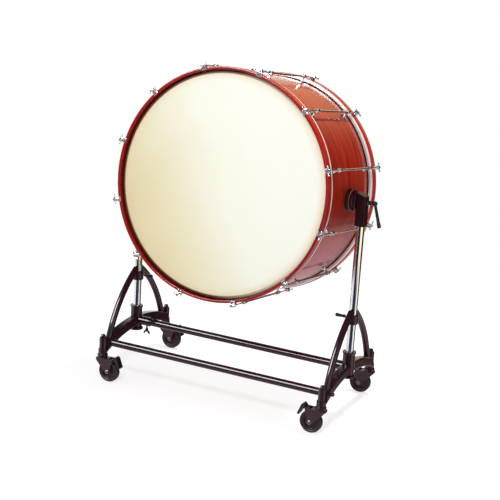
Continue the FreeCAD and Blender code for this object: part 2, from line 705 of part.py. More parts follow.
def make_tilt_lever(side):
    """A hub on the pin's thread, a ball, and a handle that hangs down and leans outward."""
    body = turned(side + "_tilt_lever", [
        ("block_length / 2 + fit", "thread_radius + fit"), ("block_length / 2 + fit", "lever_hub + 3"),
        ("block_length / 2 + 4", "lever_hub + 3"), ("block_length / 2 + 6", "lever_hub"),
        ("ball_place", "lever_hub - 1"), ("ball_place", "0"),
        ("block_length / 2 + thread_length + 1", "0"),
        ("block_length / 2 + thread_length + 1", "thread_radius + fit")],
        plane="XZ_Plane", across="axis_height")
    ball = body.newObject("PartDesign::AdditiveSphere", side + "_ball")
    bind(ball, "Radius", "lever_ball")
    bind(ball, "Placement.Base.x", "ball_place")
    bind(ball, "Placement.Base.z", "axis_height")
    lean = Rotation(UP, number("lever_lean"))
    add_turned(body, [
        ("0", "0"), ("0", "-lever_length"), ("lever_tip - 2", "-lever_length"),
        ("lever_tip", "2 - lever_length"), ("lever_tip", "12 - lever_length"),
        ("lever_radius + 1", "18 - lever_length"), ("lever_radius", "0")],
        plane="XZ_Plane", axis="V_Axis", along="ball_place", across="axis_height", turn=lean)
    body.Placement = side_place(side)


def make_collar_screw(side):
    """The screw that locks the post's height: its flat grip points towards the drum."""
    body = turned(side + "_collar_screw", [
        ("-bush_radius - fit", "0"), ("-bush_radius - fit", "lock_radius - 1"),
        ("-bush_radius - 1", "lock_radius"), ("2 - lock_reach", "lock_radius"),
        ("2 - lock_reach", "paddle_width / 2"), ("-lock_reach - 3", "paddle_width / 2"),
        ("-lock_reach - 9", "lock_radius"), ("-lock_reach - 9", "0")],
        plane="XZ_Plane", across="lock_place")
    grip = new_sketch(body, "XZ_Plane", across="lock_place")
    outline(grip, [
        ("-lock_reach", "-paddle_width / 3"), ("-lock_reach - paddle_length + 3", "-paddle_width / 2"),
        ("-lock_reach - paddle_length", "3 - paddle_width / 2"),
        ("-lock_reach - paddle_length", "paddle_width / 2 - 3"),
        ("-lock_reach - paddle_length + 3", "paddle_width / 2"), ("-lock_reach", "paddle_width / 3")])
    pad(body, grip, "paddle_thickness")
    body.Placement = side_place(side)


def make_crossbar_screw(side):
    """The wing screw under the hub's socket that locks the centre crossbar."""
    body = turned(side + "_crossbar_screw", [
        ("0", "crossbar_height - crossbar_radius - fit"),
        ("lock_radius - 1", "crossbar_height - crossbar_radius - fit"),
        ("lock_radius", "crossbar_height - crossbar_radius - 1"),
        ("lock_radius", "crossbar_height - wing_drop + 2"), ("lock_radius + 3", "crossbar_height - wing_drop + 2"),
        ("lock_radius + 3", "crossbar_height - wing_drop - 8"),
        ("lock_radius", "crossbar_height - wing_drop - 12"), ("0", "crossbar_height - wing_drop - 12")],
        plane="XZ_Plane", axis="V_Axis", along="-wing_place")
    grip = new_sketch(body, "XZ_Plane", along="-wing_place", across="crossbar_height - wing_drop")
    outline(grip, [
        ("4 - lock_radius", "0"), ("-lock_radius", "-2"), ("-paddle_width", "-wing_length / 2"),
        ("-paddle_width", "2 - wing_length"), ("2 - paddle_width", "-wing_length"),
        ("-lock_radius", "-wing_length / 2"), ("lock_radius", "-wing_length / 2"),
        ("paddle_width - 2", "-wing_length"), ("paddle_width", "2 - wing_length"),
        ("paddle_width", "-wing_length / 2"), ("lock_radius", "-2")])
    pad(body, grip, "paddle_thickness")
    body.Placement = side_place(side)


# ---------------------------------------------------------------- stand

def make_post_hubs():
    """A closed cup for the post's foot, with a side socket for the centre crossbar."""
    body = turned("post_hubs", [
        ("0", "hub_low"), ("hub_flange - 1", "hub_low"), ("hub_flange", "hub_low + 1"),
        ("hub_flange", "hub_low + rim_depth"), ("hub_radius", "hub_low + 2 * rim_depth"),
        ("hub_radius", "hub_high - 1.6 * rim_depth"), ("hub_rim", "hub_high - rim_depth"),
        ("hub_rim", "hub_high - 1"), ("hub_rim - 1", "hub_high"), ("post_radius + fit", "hub_high"),
        ("post_radius + fit", "hub_floor"), ("0", "hub_floor")],
        plane="XZ_Plane", axis="V_Axis", along="half_span")
    socket = new_sketch(body, "YZ_Plane", across="crossbar_height", off="half_span - socket_reach")
    circle(socket, "socket_radius")
    pad(body, socket, "socket_reach - hub_radius + 6", both_ways=False)
    bore = new_sketch(body, "YZ_Plane", across="crossbar_height", off="half_span - crossbar_gap + fit")
    circle(bore, "crossbar_radius + fit")
    pocket(body, bore, "socket_reach", towards_normal=False)
    thread = new_sketch(body, "XY_Plane", along="half_span - wing_place", off="crossbar_height")
    circle(thread, "lock_radius + fit")
    pocket(body, thread, "2 * socket_radius", towards_normal=False)
    mirror(body, "YZ_Plane")


def make_apex_collars():
    body = turned("apex_collars", [
        ("bush_radius + fit", "collar_low"), ("collar_radius - 1", "collar_low"),
        ("collar_radius", "collar_low + 1"), ("collar_radius", "collar_high - 1"),
        ("collar_radius - 1", "collar_high"), ("bush_radius + fit", "collar_high")],
        plane="XZ_Plane", axis="V_Axis", along="half_span")
    lock_hole(body, "half_span - collar_radius")
    mirror(body, "YZ_Plane")


def lock_hole(body, place):
    """The threaded hole for the collar's lock screw."""
    hole = new_sketch(body, "YZ_Plane", across="lock_place", off=place)
    circle(hole, "lock_radius + fit")
    pocket(body, hole, "collar_radius")


def make_collar_bushes():
    body = turned("collar_bushes", [
        ("post_radius + fit", "collar_low + 1"), ("bush_radius", "collar_low + 1"),
        ("bush_radius", "collar_high + fit"), ("bush_radius + 2", "collar_high + fit"),
        ("bush_radius + 2", "collar_high + 2"), ("post_radius + fit", "collar_high + 2")],
        plane="XZ_Plane", axis="V_Axis", along="half_span")
    mirror(body, "YZ_Plane")


def make_upper_arches():
    """Bent tubes that rise from the lower arch bar to the apex collar."""
    body = new_body("upper_arches")
    start = Rotation(SIDEWAYS, -(90 - number("arch_low")))
    ring = new_sketch(body, "XZ_Plane", along="half_span", across="arch_height",
                      off="arch_offset", turn=start)
    circle(ring, "arch_radius", up="arch_bend")
    circle(ring, "arch_radius - arch_wall", up="arch_bend")
    turn(body, ring, angle="arch_sweep")
    opening = new_sketch(body, "XY_Plane", along="half_span", off="collar_low")
    circle(opening, "collar_radius + fit")
    pocket(body, opening, "3 * hub_high")
    seat = new_sketch(body, "YZ_Plane", off="half_span")
    curved_bar(seat, "outer_bend + fit", "inner_bend - bar_depth", "bar_half")
    pocket(body, seat, "2 * bar_width")
    mirror(body, "XZ_Plane")
    mirror(body, "YZ_Plane")


def make_lower_arches():
    """The cambered bar from corner post to corner post, broken by the hub."""
    body = new_body("lower_arches")
    side = new_sketch(body, "YZ_Plane", off="half_span")
    curved_bar(side, "outer_bend", "inner_bend", "bar_half")
    pad(body, side, "bar_width")
    rounded(body, "bar_round", lambda edge: is_circle(edge))
    openings = new_sketch(body, "XY_Plane", along="half_span", off="bar_crown")
    circle(openings, "hub_radius + fit")
    for end in ("", "-"):
        circle(openings, "corner_radius + fit", up=end + "corner_place")
    pocket(body, openings, "bar_crown")
    sleeves = new_sketch(body, "XY_Plane", along="half_span", off="sleeve_top + fit")
    for end in ("", "-"):
        circle(sleeves, "socket_sleeve + fit", up=end + "corner_place")
    pocket(body, sleeves, "sleeve_top", towards_normal=False)
    bolt = new_sketch(body, "YZ_Plane", along="-front_place", across="front_height", off="half_span")
    circle(bolt, "end_bolt + fit")
    pocket(body, bolt, "2 * bar_width")
    mirror(body, "YZ_Plane")


def make_centre_crossbar():
    body = new_body("centre_crossbar")
    ring = new_sketch(body, "YZ_Plane", across="crossbar_height")
    circle(ring, "crossbar_radius")
    circle(ring, "crossbar_radius - crossbar_wall")
    pad(body, ring, "2 * (half_span - crossbar_gap)")


def make_front_crossbar():
    """A tube whose solid ends are threaded for the bolts."""
    turned("front_crossbar", [
        ("-front_half", "end_bolt + fit"), ("-front_half", "crossbar_radius"),
        ("front_half", "crossbar_radius"), ("front_half", "end_bolt + fit"),
        ("front_half - plug_depth", "end_bolt + fit"),
        ("front_half - plug_depth", "crossbar_radius - crossbar_wall"),
        ("plug_depth - front_half", "crossbar_radius - crossbar_wall"),
        ("plug_depth - front_half", "end_bolt + fit")],
        plane="XZ_Plane", across="front_height", off="front_place")


def make_crossbar_bolts():
    outer = "half_span + bar_width / 2 + fit"
    body = turned("crossbar_bolts", [
        ("front_half - plug_depth + 2", "0"), ("front_half - plug_depth + 2", "end_bolt"),
        (outer, "end_bolt"), (outer, "end_head"), (outer + " + end_head_depth - 4", "end_head"),
        (outer + " + end_head_depth", "end_head - 4"), (outer + " + end_head_depth", "0")],
        plane="XZ_Plane", across="front_height", off="front_place")
    mirror(body, "YZ_Plane")


def at_corners(label, corners):
    """A turned piece, upright on each of the stand's four corners."""
    body = turned(label, corners, plane="XZ_Plane", axis="V_Axis",
                  along="half_span", off="-corner_place")
    mirror(body, "XZ_Plane")
    mirror(body, "YZ_Plane")


def make_corner_posts():
    at_corners("corner_posts", [
        ("corner_inside", "corner_low + fit"), ("corner_radius", "corner_low + fit"),
        ("corner_radius", "corner_high"), ("corner_inside", "corner_high")])


def make_corner_caps():
    at_corners("corner_caps", [
        ("0", "corner_high - 10"), ("corner_inside - fit", "corner_high - 10"),
        ("corner_inside - fit", "corner_high + fit"), ("corner_radius - 1", "corner_high + fit"),
        ("corner_radius - 1", "corner_high + 2"), ("cap_radius", "corner_high + 4"),
        ("cap_radius", "cap_high - 5"), ("cap_radius - 2", "cap_high - 2"),
        ("cap_radius - 6", "cap_high"), ("0", "cap_high")])


def make_caster_sockets():
    """The cup under a corner post, whose bore carries the caster's stem."""
    at_corners("caster_sockets", [
        ("stem_radius + fit", "socket_low"), ("socket_flange - 1", "socket_low"),
        ("socket_flange", "socket_low + 1"), ("socket_flange", "corner_low"),
        ("socket_sleeve", "corner_low + 4"), ("socket_sleeve", "sleeve_top"),
        ("corner_radius + fit", "sleeve_top"), ("corner_radius + fit", "corner_low"),
        ("corner_inside - fit", "corner_low"), ("corner_inside - fit", "insert_top"),
        ("stem_radius + fit", "insert_top")])


# ---------------------------------------------------------------- casters

def make_fork(name, place):
    """Two cheeks under a plate, with a swivel race and a stem on top."""
    body = new_body(name + "_fork")
    cheek = new_sketch(body, "XZ_Plane")
    outline(cheek, [
        ("-race_radius", "fork_top"), ("pedal_place + 6", "fork_top"), ("pedal_place + 8", "fork_top - 3"),
        ("pedal_place + 8", "pedal_height - 7"), ("pedal_place + 3", "pedal_height - 14"),
        ("trail + 11", "wheel_radius + 3"), ("trail + 10", "wheel_radius - 7"),
        ("trail + 4", "wheel_radius - 12"), ("trail - 4", "wheel_radius - 12"),
        ("trail - 11", "wheel_radius - 6"), ("-race_radius", "fork_top - 12")])
    pad(body, cheek, "2 * fork_half")
    gap = new_sketch(body, "XZ_Plane")
    outline(gap, [
        ("-2 * race_radius", "fork_top - fork_plate"), ("trail - 2", "fork_top - fork_plate"),
        ("trail - 2", "2 * fork_top"), ("3 * trail", "2 * fork_top"), ("3 * trail", "0"),
        ("-2 * race_radius", "0")])
    pocket(body, gap, "2 * (fork_half - fork_plate)")
    add_turned(body, [
        ("0", "fork_top - fork_plate"), ("race_radius - 3", "fork_top - fork_plate"),
        ("race_radius", "fork_top"), ("race_radius", "race_top - 1"), ("race_radius - 1", "race_top"),
        ("stem_radius", "race_top"), ("stem_radius", "stem_top - 1"), ("stem_radius - 1", "stem_top"),
        ("0", "stem_top")],
        plane="XZ_Plane", axis="V_Axis")
    holes = new_sketch(body, "XZ_Plane")
    circle(holes, "axle_radius + fit", "trail", "wheel_radius")
    circle(holes, "pedal_pin + fit", "pedal_place", "pedal_height")
    pocket(body, holes, "3 * fork_half")
    body.Placement = place


def make_axle(name, place):
    """The bolt that carries the wheel, with a head outside each cheek."""
    body = turned(name + "_axle", [
        ("-fork_half - fit", "axle_radius"), ("-fork_half - fit", "axle_head"),
        ("-fork_half - 3", "axle_head"), ("-fork_half - 5", "axle_head - 3"), ("-fork_half - 5", "0"),
        ("fork_half + 5", "0"), ("fork_half + 5", "axle_head - 3"), ("fork_half + 3", "axle_head"),
        ("fork_half + fit", "axle_head"), ("fork_half + fit", "axle_radius")],
        across="wheel_radius", off="trail")
    body.Placement = place


def make_wheel(name, place):
    """A moulded hub with a rim, a thin web and a barrel, and the tyre round it."""
    half = "(tyre_width / 2 - 2)"
    hub = turned(name + "_wheel_hub", [
        ("-fork_half + fork_plate + 1", "axle_radius + fit"), ("-fork_half + fork_plate + 1", "axle_radius + 6"),
        ("-5", "axle_radius + 8"), ("-3", "rim_radius - 8"), ("-" + half, "rim_radius - 5"),
        ("-" + half, "rim_radius - fit"), (half, "rim_radius - fit"), (half, "rim_radius - 5"),
        ("3", "rim_radius - 8"), ("5", "axle_radius + 8"), ("fork_half - fork_plate - 1", "axle_radius + 6"),
        ("fork_half - fork_plate - 1", "axle_radius + fit")],
        across="wheel_radius", off="trail")
    tyre = turned(name + "_tyre", [
        ("3 - tyre_width / 2", "rim_radius"), ("-tyre_width / 2", "rim_radius + 2"),
        ("-tyre_width / 2", "wheel_radius - 5"), ("4 - tyre_width / 2", "wheel_radius - 1"),
        ("7 - tyre_width / 2", "wheel_radius"), ("tyre_width / 2 - 7", "wheel_radius"),
        ("tyre_width / 2 - 4", "wheel_radius - 1"), ("tyre_width / 2", "wheel_radius - 5"),
        ("tyre_width / 2", "rim_radius + 2"), ("tyre_width / 2 - 3", "rim_radius")],
        across="wheel_radius", off="trail")
    hub.Placement = place
    tyre.Placement = place


def make_brake_pedal(name, place):
    """A pedal on a pin through the fork, whose foot pad curves down behind the wheel."""
    body = new_body(name + "_brake_pedal")
    side = new_sketch(body, "XZ_Plane", along="pedal_place", across="pedal_height")
    outline(side, [
        ("-5", "5"), ("-6", "0"), ("-2", "-3.5"), ("3", "-3.5"), ("14", "3"), ("20", "0"), ("36", "-29"),
        ("42", "-27"), ("43", "-23"), ("27", "17"), ("23", "21"), ("16", "21"), ("4", "6")])
    pad(body, side, "pedal_width")
    pin = new_sketch(body, "XZ_Plane", along="pedal_place", across="pedal_height")
    circle(pin, "pedal_pin")
    pad(body, pin, "2 * fork_half + 2")
    body.Placement = place


def make_casters():
    """Four casters: the wheels trail towards the middle of the stand."""
    for end, depth in (("front", "-corner_place"), ("rear", "corner_place")):
        for side in ("left", "right"):
            name = f"{end}_{side}_caster"
            across = number("half_span") * (1 if side == "right" else -1)
            facing = Rotation(UP, 180 if side == "right" else 0)
            place = Placement(Vector(across, number(depth), 0), facing)
            make_fork(name, place)
            make_axle(name, place)
            make_wheel(name, place)
            make_brake_pedal(name, place)


def write_parts():
    """Checks every object, then writes one file for each sub-part."""
    doc.recompute()
    for item in doc.Objects:
        if "Invalid" in item.State or "Error" in item.State:
            raise RuntimeError(f"{item.Name} did not compute: {item.State}")
    bodies = [item for item in doc.Objects if item.TypeId == "PartDesign::Body"]
    for body in bodies:
        if body.Shape.isNull() or not body.Shape.isValid():
            raise RuntimeError(f"{body.Label} has no valid shape")
    os.makedirs("parts", exist_ok=True)
    for body in bodies:
        body.Shape.exportStep(f"parts/{body.Label}.step")


make_shell()
make_reinforcing_rings()
for end_name in ("front", "rear"):
    make_head(end_name)
    make_flesh_hoop(end_name)
    make_hoop(end_name)
make_lug_posts()
make_lug_tubes()
make_lug_screws()
make_claws()
make_tension_rods()
make_trunnions()
make_backing_plates()
make_trunnion_bolts()
make_friction_washers()
for side_name in ("left", "right"):
    make_post(side_name)
    make_post_head(side_name)
    make_friction_disc(side_name)
    make_tilt_lever(side_name)
    make_collar_screw(side_name)
    make_crossbar_screw(side_name)
make_post_hubs()
make_apex_collars()
make_collar_bushes()
make_upper_arches()
make_lower_arches()
make_centre_crossbar()
make_front_crossbar()
make_crossbar_bolts()
make_corner_posts()
make_corner_caps()
make_caster_sockets()
make_casters()
write_parts()
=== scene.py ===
import bmesh
import bpy
import json
import math
from mathutils import Matrix, Vector


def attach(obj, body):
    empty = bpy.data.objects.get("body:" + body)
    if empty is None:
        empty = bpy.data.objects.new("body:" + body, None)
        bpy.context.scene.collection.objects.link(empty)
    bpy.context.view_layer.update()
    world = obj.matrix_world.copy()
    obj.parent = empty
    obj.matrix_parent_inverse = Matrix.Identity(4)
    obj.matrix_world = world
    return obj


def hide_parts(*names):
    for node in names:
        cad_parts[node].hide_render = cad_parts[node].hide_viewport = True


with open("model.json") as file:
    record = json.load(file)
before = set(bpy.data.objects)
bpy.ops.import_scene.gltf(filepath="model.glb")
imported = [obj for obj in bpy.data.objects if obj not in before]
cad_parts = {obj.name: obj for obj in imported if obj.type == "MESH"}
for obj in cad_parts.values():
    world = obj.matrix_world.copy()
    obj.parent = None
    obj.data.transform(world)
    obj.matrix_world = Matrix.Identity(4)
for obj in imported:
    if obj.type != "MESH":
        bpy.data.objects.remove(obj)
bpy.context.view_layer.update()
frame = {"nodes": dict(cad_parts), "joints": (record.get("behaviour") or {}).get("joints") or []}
NODES = frame["nodes"]
JOINTS = {joint["name"]: joint for joint in frame["joints"]}
MM = 0.001

# ---------------------------------------------------------------- places, taken from the CAD

AXIS = Vector(JOINTS["drum_tilt"]["pos_m"])
TILT = math.radians(6.65)
DRUM = Matrix.Translation(AXIS) @ Matrix.Rotation(-TILT, 4, "X")
STATIONS = 12
ENDS = ("front", "rear")
SIDES = ("left", "right")
CASTERS = [f"{end}_{side}_caster" for end in ENDS for side in SIDES]


def station(index, end):
    """A tension station: X along the hoop, Y out along the drum's axis, Z straight out from it."""
    turn = Matrix.Rotation(2 * math.pi * (index + 0.5) / STATIONS, 4, "Y")
    swap = Matrix.Rotation(math.pi if end == "front" else 0, 4, "Z")
    return DRUM @ turn @ swap


def along_axis(end):
    """The drum's axis as a lathe's Z axis, pointing out of this end."""
    return DRUM @ Matrix.Rotation(math.radians(90 if end == "front" else -90), 4, "X")


def all_stations():
    """The stations one after another round the drum, front end before rear."""
    return [station(index, end) for index in range(STATIONS) for end in ENDS]


def measure(node, place):
    """A node's lowest and highest corners, and its smallest radius about Z, in a frame."""
    inverse = place.inverted()
    points = [inverse @ vertex.co for vertex in NODES[node].data.vertices]
    low = Vector([min(point[i] for point in points) for i in range(3)])
    high = Vector([max(point[i] for point in points) for i in range(3)])
    return low, high, min(math.hypot(point.x, point.y) for point in points)


HOOP_LOW, HOOP_HIGH, HOOP_INSIDE = measure("front_hoop", along_axis("front"))
HOOP_BACK, HOOP_FACE, HOOP_OUTSIDE = HOOP_LOW.z, HOOP_HIGH.z, HOOP_HIGH.x
SHELL_OUTSIDE = measure("shell", along_axis("front"))[1].y
ROD_PLACE = HOOP_OUTSIDE + 10 * MM
CLAW_FACE = measure("claws", station(0, "rear"))[1].y
LUG_END = measure("lug_posts", station(0, "rear"))[1].y


# ---------------------------------------------------------------- materials

class Nodes:
    """Adds shader nodes to a tree."""

    def __init__(self, tree):
        self.tree = tree

    def add(self, kind, settings=None, **inputs):
        """Adds a node; each input is a value or another node's output socket."""
        node = self.tree.nodes.new("ShaderNode" + kind)
        for prop, value in (settings or {}).items():
            setattr(node, prop, value)
        for key, value in inputs.items():
            self.set(node, key, value)
        return node

    def set(self, node, key, value):
        name = key.replace("_", " ")
        socket = node.inputs[int(name[3:])] if name.startswith("in ") else node.inputs[name]
        if isinstance(value, bpy.types.NodeSocket):
            self.tree.links.new(value, socket)
        else:
            socket.default_value = value

    def math(self, operation, first, second=0.0, third=0.0):
        node = self.add("Math", {"operation": operation}, in_0=first, in_1=second, in_2=third)
        return node.outputs[0]

    def scaled(self, vector, x, y, z):
        node = self.add("VectorMath", {"operation": "MULTIPLY"}, in_0=vector, in_1=(x, y, z))
        return node.outputs[0]

    def noise(self, vector, scale, detail=4.0, rough=0.5, warp=0.0):
        node = self.add("TexNoise", None, Vector=vector, Scale=scale, Detail=detail,
                        Roughness=rough, Distortion=warp)
        return node.outputs[0]

    def ramp(self, value, *stops):
        """A colour ramp through (place, colour) stops."""
        node = self.add("ValToRGB", None, Fac=value)
        ramp = node.color_ramp
        while len(ramp.elements) < len(stops):
            ramp.elements.new(0.5)
        for element, (place, colour) in zip(ramp.elements, stops):
            element.position = place
            element.color = (*colour, 1.0)
        return node.outputs[0]

    def level(self, value, low, high, start=0.0, end=1.0):
        """The value stretched from start..end to low..high."""
        node = self.add("MapRange", None, Value=value, From_Min=start, From_Max=end,
                        To_Min=low, To_Max=high)
        return node.outputs[0]

    def mix(self, factor, first, second, kind="MIX"):
        node = self.add("Mix", {"data_type": "RGBA", "blend_type": kind}, in_0=factor)
        self.set(node, "in 6", first)
        self.set(node, "in 7", second)
        return node.outputs[2]


class Look(Nodes):
    """A node material in the making, with its Principled shader at hand."""

    def __init__(self, name):
        self.material = bpy.data.materials.new(name)
        self.material.use_nodes = True
        super().__init__(self.material.node_tree)
        self.shader = next(n for n in self.tree.nodes if n.type == "BSDF_PRINCIPLED")

    def finish(self, **inputs):
        for key, value in inputs.items():
            self.set(self.shader, key, value)
        return self.material

    def place(self):
        """A point in the object's own coordinates."""
        return self.add("TexCoord").outputs["Object"]

    def bump(self, height, strength, distance=0.001):
        node = self.add("Bump", None, Height=height, Strength=strength, Distance=distance)
        return node.outputs[0]

    def edges(self):
        """Near one on sharp edges, nought on flat faces."""
        soft = self.add("Bevel", {"samples": 4}, Radius=1.2 * MM).outputs[0]
        flat = self.add("NewGeometry").outputs["Normal"]
        dot = self.add("VectorMath", {"operation": "DOT_PRODUCT"}, in_0=soft, in_1=flat)
        return self.level(dot.outputs["Value"], 1.0, 0.0, 0.8, 0.999)

    def drum_coordinates(self):
        """Distance round the drum, along its axis and out from it, then across and up, in metres."""
        off = self.add("VectorMath", {"operation": "SUBTRACT"}, in_0=self.place(), in_1=AXIS)
        level = self.add("VectorRotate", {"rotation_type": "X_AXIS"}, Vector=off.outputs[0], Angle=TILT)
        x, y, z = self.add("SeparateXYZ", None, Vector=level.outputs[0]).outputs
        angle = self.math("ARCTAN2", x, z)
        squares = self.math("ADD", self.math("MULTIPLY", x, x), self.math("MULTIPLY", z, z))
        return self.math("MULTIPLY", angle, HOOP_INSIDE), y, self.math("SQRT", squares), x, z

    def combine(self, x, y, z):
        return self.add("CombineXYZ", None, X=x, Y=y, Z=z).outputs[0]


def red_wood(name, dark, middle, bright, stretch, gloss, shade):
    """Lacquered wood whose grain runs round the drum, with painted shade darkening its ends or its inner
    side.
    """
    look = Look(name)
    around, along, out, _, _ = look.drum_coordinates()
    grain_place = look.combine(look.math("MULTIPLY", around, stretch), along, out)
    waves = look.noise(grain_place, 8.0, 3.0, 0.55, 0.6)
    streaks = look.noise(look.scaled(grain_place, 1.0, 8.0, 8.0), 15.0, 8.0, 0.66, 0.25)
    pores = look.noise(look.scaled(grain_place, 3.5, 46.0, 46.0), 14.0, 3.0, 0.6)
    body = look.ramp(look.math("MULTIPLY_ADD", streaks, 0.76, look.math("MULTIPLY", waves, 0.24)),
                     (0.36, dark), (0.49, middle), (0.62, bright))
    pore_shade = look.ramp(pores, (0.32, (0.35, 0.3, 0.3)), (0.47, (1.0, 1.0, 1.0)))
    colour = look.mix(0.85, body, pore_shade, "MULTIPLY")
    coat = 1.0
    # Painted shade: the hoop's inner wall darkens towards its inner edge, as if lying in the hoop's own
    # shadow.
    if shade == "inside":
        inside = look.level(out, 0.9, 0.0, HOOP_INSIDE, HOOP_OUTSIDE - 3 * MM)
        colour = look.mix(inside, colour, (0.18, 0.003, 0.001, 1.0))
    # Painted shadow on the shell next to the flesh hoops: darker colour near both ends, with a thinner coat
    # there so reflections are hidden.
    if shade == "ends":
        ends = look.level(look.math("ABSOLUTE", along), 0.0, 1.0, HOOP_BACK - 40 * MM, HOOP_BACK - 18 * MM)
        colour = look.mix(ends, colour, (0.045, 0.001, 0.001, 1.0))
        coat = look.math("MULTIPLY_ADD", ends, -0.85, 1.0)
    sheen = look.noise(look.place(), 11.0, 3.0)
    orange_peel = look.noise(look.place(), 260.0, 2.0)
    return look.finish(
        Base_Color=colour, Roughness=look.level(streaks, gloss + 0.30, gloss + 0.42),
        Specular_IOR_Level=0.04, Coat_Weight=coat, Coat_IOR=1.5,
        Coat_Roughness=look.level(sheen, gloss, gloss + 0.05, 0.3, 0.7),
        Coat_Normal=look.bump(orange_peel, 0.06, 0.0004), Normal=look.bump(streaks, 0.12, 0.0004))


def bare_maple():
    look = Look("bare_maple")
    around, along, out, _, _ = look.drum_coordinates()
    grain_place = look.combine(look.math("MULTIPLY", around, 0.3), along, out)
    streaks = look.noise(look.scaled(grain_place, 1.0, 12.0, 12.0), 14.0, 6.0, 0.6, 0.4)
    colour = look.ramp(streaks, (0.3, (0.38, 0.2, 0.09)), (0.55, (0.62, 0.4, 0.21)),
                       (0.75, (0.72, 0.52, 0.31)))
    return look.finish(Base_Color=colour, Roughness=look.level(streaks, 0.45, 0.6),
                       Normal=look.bump(streaks, 0.15, 0.0005))


def coated_film():
    """A cream coated head: faint fibres, painted shade that darkens and warms it towards the rim and the
    lower left, and a painted shadow under the hoop.
    """
    look = Look("coated_film")
    _, _, out, x, z = look.drum_coordinates()
    place = look.place()
    # Painted shade: the film darkens and yellows towards the lower left, as if lit from the upper right; the
    # clouds add a random tone.
    painted_side_shade = look.math("MULTIPLY_ADD", x, 0.62, look.math("MULTIPLY", z, 0.30))
    clouds = look.noise(place, 2.6, 3.0, 0.5, 0.5)
    shade = look.math("MULTIPLY_ADD", clouds, 0.14, look.math("ADD", painted_side_shade, 0.30))
    cream = look.ramp(shade, (0.03, (0.74, 0.61, 0.34)), (0.20, (0.83, 0.76, 0.52)),
                      (0.38, (0.93, 0.93, 0.81)), (0.7, (0.94, 0.945, 0.87)))
    speckle = look.noise(place, 420.0, 3.0, 0.7)
    fibres = look.noise(look.scaled(place, 1.0, 1.0, 3.0), 90.0, 6.0, 0.7, 1.5)
    # Painted shade: a soft brownish shade on the film towards the rim, where the hoop shades it.
    rim = look.level(out, 0.0, 1.0, HOOP_INSIDE - 41 * MM, HOOP_INSIDE - 18 * MM)
    painted_shade_cream = look.mix(look.math("MULTIPLY", rim, 0.45), cream, (0.86, 0.66, 0.40, 1.0))
    # Painted shadow: a dark band just inside the hoop, strongest on the left and fading out to the right.
    hoop_shadow_band = look.level(out, 0.0, 1.0, HOOP_INSIDE - 17 * MM, HOOP_INSIDE - 12.5 * MM)
    painted_hoop_shadow = look.math("MULTIPLY", hoop_shadow_band, look.level(x, 1.0, 0.0, 0.02, 0.36))
    painted_shade_cream = look.mix(painted_hoop_shadow, painted_shade_cream, (0.13, 0.035, 0.018, 1.0))
    weave = look.ramp(fibres, (0.35, (0.72, 0.68, 0.56)), (0.6, (1.0, 1.0, 1.0)))
    colour = look.mix(0.10, painted_shade_cream, weave, "MULTIPLY")
    height = look.math("MULTIPLY_ADD", speckle, 0.5, fibres)
    return look.finish(Base_Color=colour, Roughness=look.level(speckle, 0.5, 0.62),
                       Normal=look.bump(height, 0.10, 0.0004), Specular_IOR_Level=0.3)


def bright_metal(name, colour, roughness, brushed=(1.0, 1.0, 1.0), metallic=1.0):
    """Plated or polished metal with faint smears and fine scratches."""
    look = Look(name)
    place = look.place()
    smears = look.noise(place, 14.0, 4.0, 0.6, 0.8)
    scratches = look.noise(look.scaled(place, *brushed), 240.0, 4.0, 0.7)
    tone = look.mix(look.level(smears, 0.0, 0.35, 0.4, 0.75), (*colour, 1.0),
                    tuple(0.82 * part for part in colour) + (1.0,))
    rough = look.math("MULTIPLY_ADD", scratches, roughness * 0.5,
                      look.level(smears, roughness * 0.6, roughness * 1.3, 0.3, 0.7))
    return look.finish(Base_Color=tone, Metallic=metallic, Roughness=rough,
                       Normal=look.bump(scratches, 0.035, 0.0002))


def gloss_paint(name, colour, worn, gloss, coat=1.0):
    """Thick gloss paint: orange peel, lighter cloudy patches of dust and bare metal at rubbed edges."""
    look = Look(name)
    place = look.place()
    clouds = look.noise(place, 7.0, 4.0, 0.6)
    peel = look.noise(place, 330.0, 2.0)
    grit = look.noise(place, 60.0, 6.0, 0.7)
    tone = look.mix(look.level(clouds, 0.0, 0.7, 0.35, 0.7), (*colour, 1.0),
                    tuple(1.7 * part + 0.001 for part in colour) + (1.0,))
    rubbed = look.math("MULTIPLY", look.edges(), look.level(grit, 0.0, 1.0, 0.58, 0.72))
    tone = look.mix(rubbed, tone, (*worn, 1.0))
    return look.finish(
        Base_Color=tone, Roughness=look.level(clouds, gloss + 0.16, gloss + 0.28, 0.3, 0.7),
        Specular_IOR_Level=0.05, Coat_Weight=coat,
        Coat_Roughness=look.level(grit, gloss, gloss + 0.07, 0.3, 0.7),
        Coat_Normal=look.bump(peel, 0.10, 0.0004), Normal=look.bump(grit, 0.05, 0.0004))


def moulded_plastic(name, colour, roughness, grain=700.0):
    """Moulded plastic or rubber with a fine spark-eroded grain and scuffed edges."""
    look = Look(name)
    place = look.place()
    pits = look.noise(place, grain, 2.0, 0.6)
    clouds = look.noise(place, 18.0, 4.0, 0.6)
    scuffs = look.math("MULTIPLY", look.edges(), look.level(clouds, 0.1, 0.8, 0.4, 0.65))
    pale = tuple(2.4 * part + 0.012 for part in colour) + (1.0,)
    tone = look.mix(look.level(clouds, 0.0, 0.3, 0.3, 0.7), (*colour, 1.0), pale)
    tone = look.mix(scuffs, tone, pale)
    rough = look.level(clouds, roughness - 0.06, roughness + 0.1, 0.3, 0.7)
    return look.finish(Base_Color=tone, Roughness=rough, Normal=look.bump(pits, 0.18, 0.0003))


